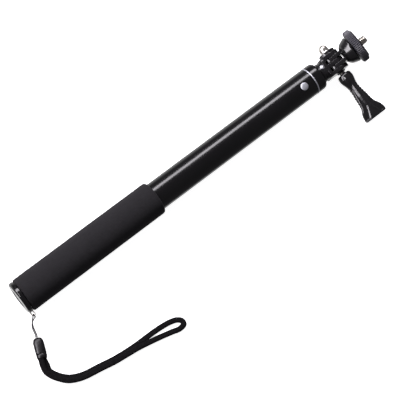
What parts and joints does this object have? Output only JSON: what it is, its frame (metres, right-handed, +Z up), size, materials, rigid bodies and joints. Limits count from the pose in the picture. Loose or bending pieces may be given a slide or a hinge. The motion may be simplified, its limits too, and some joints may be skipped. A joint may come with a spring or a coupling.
{
  "type": "selfie stick",
  "caption": "Collapsed telescopic pole with a foam grip, a tilting camera adapter clamped by a paddle-handled thumbscrew, a knurled lock disc with a camera screw, and a cord wrist loop.",
  "frame": {"origin": "under the middle of the stick's own bounding box, on the table that it lies on", "axes": "+X along the stick from its butt to its head, +Z up from the table, +Y towards the acorn nut's side"},
  "size_m": [0.3285, 0.0997, 0.0326],
  "materials": {
    "foam": "matte closed-cell foam with a fine grain",
    "black_paint": "gloss black anodised or lacquered aluminium",
    "gloss_black_plastic": "gloss",
    "head_plastic": "semi-gloss moulded",
    "disc_plastic": "satin moulded, knurled rim",
    "inner_plastic": "satin moulded",
    "connector_plastic": "satin moulded",
    "pad_rubber": "matte",
    "satin_metal": "satin",
    "nickel": "bright nickel plate",
    "steel": "zinc plated",
    "bare_aluminium": "satin drawn",
    "strap_cord": "braided",
    "strap_thread": "twisted grey thread"
  },
  "bodies": {
    "handle": {"end_cap": "gloss_black_plastic", "lanyard_loop": "nickel", "foam_grip": "foam", "outer_tube": "black_paint", "trim_ring": "satin_metal", "end_collar": "gloss_black_plastic", "strap_thread": "strap_thread", "strap_connector": "connector_plastic", "strap_cord": "strap_cord"},
    "lock_button": {"lock_button": "satin_metal", "button_spring": "steel"},
    "section_2": {"section_2_tube": "bare_aluminium", "section_2_slider": "inner_plastic", "section_2_bush": "inner_plastic"},
    "section_3": {"section_3_tube": "bare_aluminium", "section_3_slider": "inner_plastic", "section_3_bush": "inner_plastic"},
    "section_4": {"section_4_tube": "bare_aluminium", "section_4_slider": "inner_plastic", "head_fork": "head_plastic", "head_pin": "satin_metal", "acorn_nut": "nickel"},
    "thumbscrew": {"thumbscrew_knob": "head_plastic", "thumbscrew_shaft": "steel", "knob_washer": "inner_plastic"},
    "adapter": {"adapter_base": "head_plastic", "camera_screw": "nickel"},
    "lock_disc": {"lock_disc": "disc_plastic", "disc_pad": "pad_rubber"}
  },
  "joints": [
    {"name": "section_2_slide", "type": "slide", "parent": "handle", "child": "section_2", "axis": [1, 0, 0], "range_m": [0, 0.2]},
    {"name": "section_3_slide", "type": "slide", "parent": "section_2", "child": "section_3", "axis": [1, 0, 0], "range_m": [0, 0.2]},
    {"name": "section_4_slide", "type": "slide", "parent": "section_3", "child": "section_4", "axis": [1, 0, 0], "range_m": [0, 0.2]},
    {"name": "adapter_tilt", "type": "hinge", "parent": "section_4", "child": "adapter", "pos_m": [0.12788, 0.01619, 0.0127], "axis": [0, -0.9755, -0.2198], "range_deg": [-110, 70]},
    {"name": "thumbscrew_turn", "type": "hinge", "parent": "section_4", "child": "thumbscrew", "pos_m": [0.12788, 0.01619, 0.0127], "axis": [0, -0.9755, -0.2198], "continuous": true},
    {"name": "lock_disc_turn", "type": "hinge", "parent": "adapter", "child": "lock_disc", "pos_m": [0.12788, 0.01619, 0.0127], "axis": [0.9397, -0.0752, 0.3337], "continuous": true},
    {"name": "lock_button_press", "type": "slide", "parent": "handle", "child": "lock_button", "axis": [0, 0.3665, -0.9304], "range_m": [0, 0.0005], "stiffness_N_per_m": 500, "springref_m": -0.0005}
  ]
}
